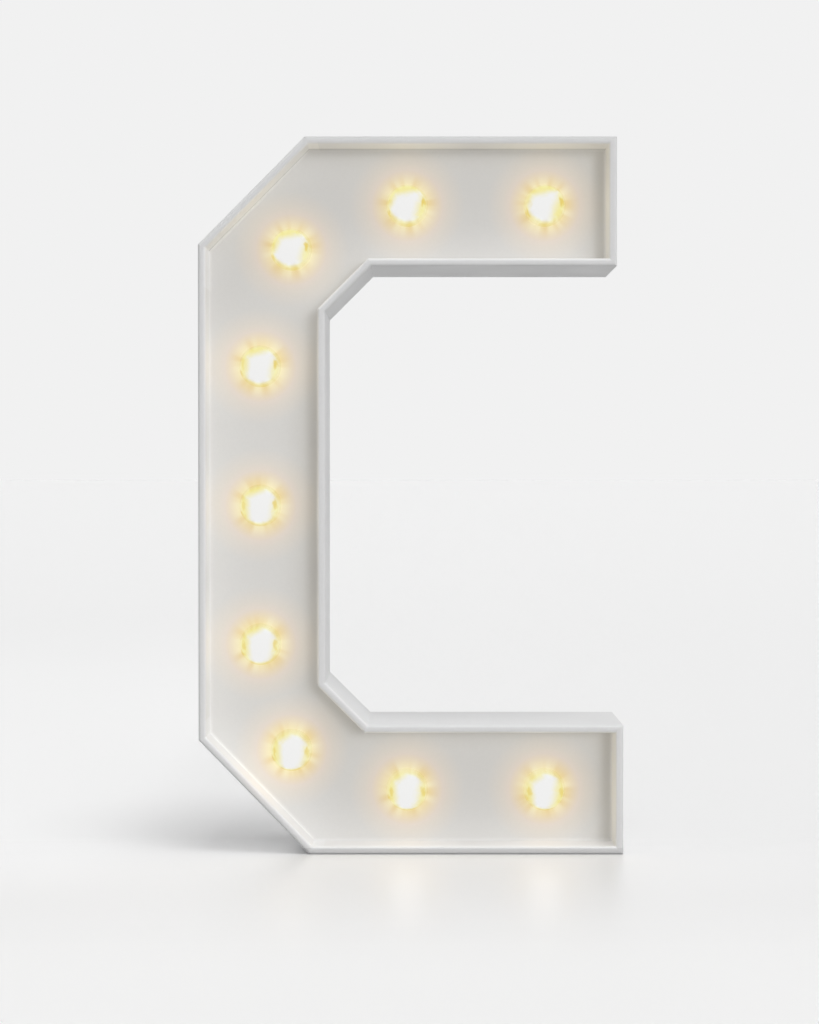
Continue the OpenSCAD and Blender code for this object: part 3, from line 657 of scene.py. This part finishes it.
RED_SLEEVE = (rgb(0.42, 0.018, 0.014), rgb(0.50, 0.06, 0.05))
BLACK_SLEEVE = (grey(0.016), grey(0.05))
BLOOM_SCALE, RIPPLE_SCALE = 160.0, 1800.0
BLOOM_RANGE = (0.42, 0.75)


def sleeve(colour, dusty):
    """A soft extruded wire sleeve with a faint dust bloom."""
    def build(nodes):
        where = nodes.place()
        bloom = nodes.noise(where, BLOOM_SCALE, 4.0)
        ripple = nodes.noise(where, RIPPLE_SCALE, 1.0)
        return {
            "Base Color": nodes.mix(nodes.span(bloom, *BLOOM_RANGE), colour, dusty),
            "Roughness": nodes.spread(bloom, 0.34, 0.52),
            "Normal": nodes.bump(ripple, 0.12, 0.04 * MM),
        }
    return build


# Colour bands of the resistor: place along its body in millimetres, and colour
BANDS = [(-1.45, rgb(0.45, 0.03, 0.02)), (-0.55, rgb(0.20, 0.04, 0.25)),
         (0.35, rgb(0.16, 0.06, 0.02)), (1.50, rgb(0.55, 0.38, 0.10))]
BAND_HALF = 0.22
RESISTOR_HALF = 2.33
LACQUER = (rgb(0.58, 0.42, 0.25), rgb(0.70, 0.54, 0.34))
LACQUER_COAT = 0.4
RESISTOR_LEAD = grey(0.60)
MOTTLE_SCALE = 1400.0


def lacquered(nodes):
    where = nodes.place()
    along = (nodes.parts(where)[1] - middle("resistor").y) / MM
    mottle = nodes.noise(where, MOTTLE_SCALE, 3.0)
    colour = nodes.mix(nodes.spread(mottle), *LACQUER)
    for place, band in BANDS:
        colour = nodes.mix((along - place).size() < BAND_HALF, colour, band)
    lead = along.size() > RESISTOR_HALF
    return {
        "Base Color": nodes.mix(lead, colour, RESISTOR_LEAD),
        "Metallic": lead,
        "Roughness": nodes.spread(mottle, 0.26, 0.38),
        "Normal": nodes.bump(mottle, 0.10, 0.05 * MM),
        "Coat Weight": LACQUER_COAT * (1.0 - lead),
    }


# Metals, board and knob

# Metals: bright and dull colour, how the draw lines are drawn out along each axis, and least roughness
STEEL = (grey(0.62), rgb(0.44, 0.43, 0.41), (3000.0, 300.0, 3000.0), 0.24)
ZINC = (rgb(0.60, 0.61, 0.63), rgb(0.42, 0.42, 0.40), (2400.0, 500.0, 2400.0), 0.22)
NICKEL = (rgb(0.68, 0.66, 0.62), rgb(0.50, 0.48, 0.43), (400.0, 400.0, 2600.0), 0.18)
BRASS = (rgb(0.78, 0.56, 0.24), rgb(0.48, 0.32, 0.13), (400.0, 2600.0, 400.0), 0.22)
TARNISH_SCALE = 220.0
TARNISH_RANGE = (0.40, 0.72)
TARNISH_SHARE, LINE_SHARE = 0.7, 0.3
TARNISH_ROUGH = 0.16


def metal(bright, dull, stretch, rough):
    """Plated or stamped metal with fine draw lines along one way and a little tarnish."""
    def build(nodes):
        where = nodes.place()
        lines = nodes.drawn(where, stretch)
        tarnish = nodes.noise(where, TARNISH_SCALE, 4.0, 0.6)
        tone = nodes.span(tarnish, *TARNISH_RANGE) * TARNISH_SHARE
        tone = tone + nodes.span(lines, *NOISE_MIDDLE) * LINE_SHARE
        return {
            "Base Color": nodes.mix(tone, bright, dull),
            "Metallic": 1.0,
            "Roughness": nodes.spread(tarnish, rough, rough + TARNISH_ROUGH),
            "Normal": nodes.bump(lines, 0.12, 0.03 * MM),
        }
    return build


BOARD = (rgb(0.24, 0.11, 0.045), rgb(0.42, 0.23, 0.11))
BOARD_STRETCH = (300.0, 2600.0, 1200.0)


def pressed_board(nodes):
    fibre = nodes.drawn(nodes.place(), BOARD_STRETCH, 3.0)
    return {
        "Base Color": nodes.mix(nodes.spread(fibre), *BOARD),
        "Roughness": nodes.spread(fibre, 0.42, 0.60),
        "Normal": nodes.bump(fibre, 0.20, 0.05 * MM),
    }


KNOB = (grey(0.022), grey(0.075))
SCUFF_STRETCH = (500.0, 500.0, 3000.0)
SCUFF_RANGE = (0.52, 0.78)
KNOB_GRAIN = 2400.0


def knob_black(nodes):
    where = nodes.place()
    scuff = nodes.drawn(where, SCUFF_STRETCH, 3.0, 0.65)
    return {
        "Base Color": nodes.mix(nodes.span(scuff, *SCUFF_RANGE), *KNOB),
        "Roughness": nodes.spread(scuff, 0.38, 0.55),
        "Normal": nodes.bump(nodes.noise(where, KNOB_GRAIN, 1.0), 0.18, 0.05 * MM),
    }


# Cells

CELL_BARE = 4.35 * MM
CELL_BAND = 9.0 * MM
SIGN_FROM_END = 5.0 * MM
SIGN_HALF, SIGN_LINE = 1.3 * MM, 0.28 * MM
CELL_GREY = (rgb(0.085, 0.095, 0.105), rgb(0.12, 0.13, 0.145))
CELL_PLATED = (grey(0.55), grey(0.68))
BAND_PALE = rgb(0.62, 0.63, 0.62)
SIGN_PALE, SIGN_DARK = grey(0.62), grey(0.05)
RUB_STRETCH = (60.0, 900.0, 900.0)


def cell_sleeve(node, nub_way):
    """A plain grey sleeve with a pale band and pole signs, between bare plated ends."""
    low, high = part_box(node)
    axis = (low + high) / 2
    length = high.x - low.x
    nub_end = high.x if nub_way > 0 else low.x

    def build(nodes):
        where = nodes.place()
        x, y, z = nodes.parts(where)
        from_nub = (x - nub_end) * -nub_way
        rise, out = z - axis.z, y - axis.y
        bare = (rise * rise + out * out).root() < CELL_BARE
        rub = nodes.drawn(where, RUB_STRETCH, 3.0)
        colour = nodes.mix(nodes.spread(rub), *CELL_GREY)
        colour = nodes.mix(from_nub < CELL_BAND, colour, BAND_PALE)
        level_line = (rise.size() < SIGN_HALF) * (out > 0.0)
        minus = ((from_nub - length + SIGN_FROM_END).size() < SIGN_LINE) * level_line
        from_plus = (from_nub - SIGN_FROM_END).size()
        plus_line = (from_plus < SIGN_LINE) * level_line
        plus_bar = (from_plus < SIGN_HALF) * (rise.size() < SIGN_LINE) * (out > 0.0)
        colour = nodes.mix(minus, colour, SIGN_PALE)
        colour = nodes.mix(plus_line.most(plus_bar), colour, SIGN_DARK)
        return {
            "Base Color": nodes.mix(bare, colour, nodes.mix(nodes.spread(rub), *CELL_PLATED)),
            "Metallic": bare,
            "Roughness": nodes.spread(rub, 0.26, 0.36),
            "Normal": nodes.bump(rub, 0.06, 0.03 * MM),
        }
    return build


# Dressing the solids

# Edge softening of each moulding, in millimetres
SOFT_EDGES = {"front_shell": 0.35, "back_cover": 0.15, "battery_door": 0.15, "switch_knob": 0.15}
SOFT_STEPS = 2
WELD_NEAR = 0.005 * MM
FLAT_ANGLE = math.radians(0.5)
SHARP_ANGLE = math.radians(40)


def painted(name, build, solids, lights_up=False):
    """A new material, given to each of the named solids."""
    material = finish(name, build, lights_up)
    for solid in solids:
        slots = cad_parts[solid].data.materials
        slots.clear()
        slots.append(material)
    return material


def soften_edges():
    """Small moulded radii on the sharp edges, added by live modifiers."""
    for name, width in SOFT_EDGES.items():
        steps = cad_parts[name].modifiers
        steps.new("join", "WELD").merge_threshold = WELD_NEAR
        flat = steps.new("flat", "DECIMATE")
        flat.decimate_type = "DISSOLVE"
        flat.angle_limit = FLAT_ANGLE
        edge = steps.new("edge", "BEVEL")
        edge.width = width * MM
        edge.segments = SOFT_STEPS
        edge.limit_method = "ANGLE"
        edge.angle_limit = SHARP_ANGLE
        steps.new("even", "WEIGHTED_NORMAL").keep_sharp = True


def dress_solids():
    """Paints all solids and returns the cover's finish, which the marks share."""
    painted("tray_white", tray_white, ["front_shell"], True)
    cover_finish = painted("cover_white", cover_white, ["back_cover"])
    painted("door_white", cover_white, ["battery_door"])
    painted("bulb_clear", bulb_clear, bulb_names, True)
    painted("light_lens", lens_and_leads, light_names, True)
    painted("wire_red", sleeve(*RED_SLEEVE), ["wire_positive", "wire_switch"])
    painted("wire_black", sleeve(*BLACK_SLEEVE), ["wire_negative"])
    painted("resistor_tan", lacquered, ["resistor"])
    painted("switch_steel", metal(*STEEL), ["switch_frame"])
    painted("switch_board", pressed_board, ["switch_base"])
    painted("brass", metal(*BRASS), ["switch_terminals", "switch_wiper"])
    painted("knob_black", knob_black, ["switch_knob"])
    painted("screw_steel", metal(*ZINC), ["switch_screws", "cover_screws"])
    painted("contact_nickel", metal(*NICKEL),
            ["contact_bridge", "contact_positive", "contact_negative", "spring_lower", "spring_upper"])
    painted("cell_upper_case", cell_sleeve("cell_upper", -1), ["cell_upper"])
    painted("cell_lower_case", cell_sleeve("cell_lower", 1), ["cell_lower"])
    return cover_finish


# Marks in the switch's finger well

WELL_FLOOR = 18.4 * MM
MARK_RISE = 0.30 * MM
MARK_SINK = 0.10 * MM
MARK_ASIDE = 5.3 * MM
MARK_ACROSS = 2.4 * MM
MARK_WIDE = 0.55 * MM
MARK_SOFT = 0.10 * MM
MARK_STEPS = 3
RING_SIDES = 48


def soften_mark():
    """Rounds all edges of the new primitive and leaves it in edit mode."""
    bpy.ops.object.transform_apply(location=True, rotation=True, scale=True)
    bpy.ops.object.mode_set(mode="EDIT")
    bpy.ops.mesh.select_all(action="SELECT")
    bpy.ops.mesh.bevel(offset=MARK_SOFT, segments=MARK_STEPS, affect="EDGES")


def end_mark(piece, name, material):
    select_nothing()
    piece.select_set(True)
    bpy.context.view_layer.objects.active = piece
    bpy.ops.object.transform_apply(location=True, rotation=True, scale=True)
    bpy.ops.object.shade_smooth_by_angle(angle=SHARP_ANGLE)
    piece.name = name
    piece.data.materials.append(material)
    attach(piece, "letter")


def add_marks(material):
    """A bar at the knob's lit end and a ring at its dark end, raised on the well's floor."""
    well = middle("switch_frame")
    thick = MARK_RISE + MARK_SINK
    depth = WELL_FLOOR + (MARK_RISE - MARK_SINK) / 2

    select_nothing()
    bpy.ops.mesh.primitive_cube_add(size=1.0, location=(well.x - MARK_ASIDE, depth, well.z))
    bar = bpy.context.object
    bar.scale = (MARK_WIDE, thick, MARK_ACROSS)
    soften_mark()
    bpy.ops.object.mode_set(mode="OBJECT")
    end_mark(bar, "mark_on", material)

    select_nothing()
    bpy.ops.mesh.primitive_cylinder_add(
        vertices=RING_SIDES, radius=MARK_ACROSS / 2, depth=thick,
        rotation=(math.radians(90), 0, 0), location=(well.x + MARK_ASIDE, depth, well.z))
    ring = bpy.context.object
    soften_mark()
    bpy.ops.mesh.select_mode(type="FACE")
    bpy.ops.mesh.select_all(action="DESELECT")
    bpy.ops.object.mode_set(mode="OBJECT")
    for face in ring.data.polygons:
        face.select = len(face.vertices) == RING_SIDES
    bpy.ops.object.mode_set(mode="EDIT")
    bpy.ops.mesh.inset(thickness=MARK_WIDE - MARK_SOFT)
    bpy.ops.mesh.bridge_edge_loops()
    bpy.ops.object.mode_set(mode="OBJECT")
    end_mark(ring, "mark_off", material)


add_camera()
add_sky()
for light_name, light_facts in FAR_LIGHTS.items():
    add_far_light(light_name, *light_facts)
add_bulb_lights()
add_floor()
cover_finish = dress_solids()
soften_edges()
add_marks(cover_finish)

scene.view_settings.view_transform = "Standard"
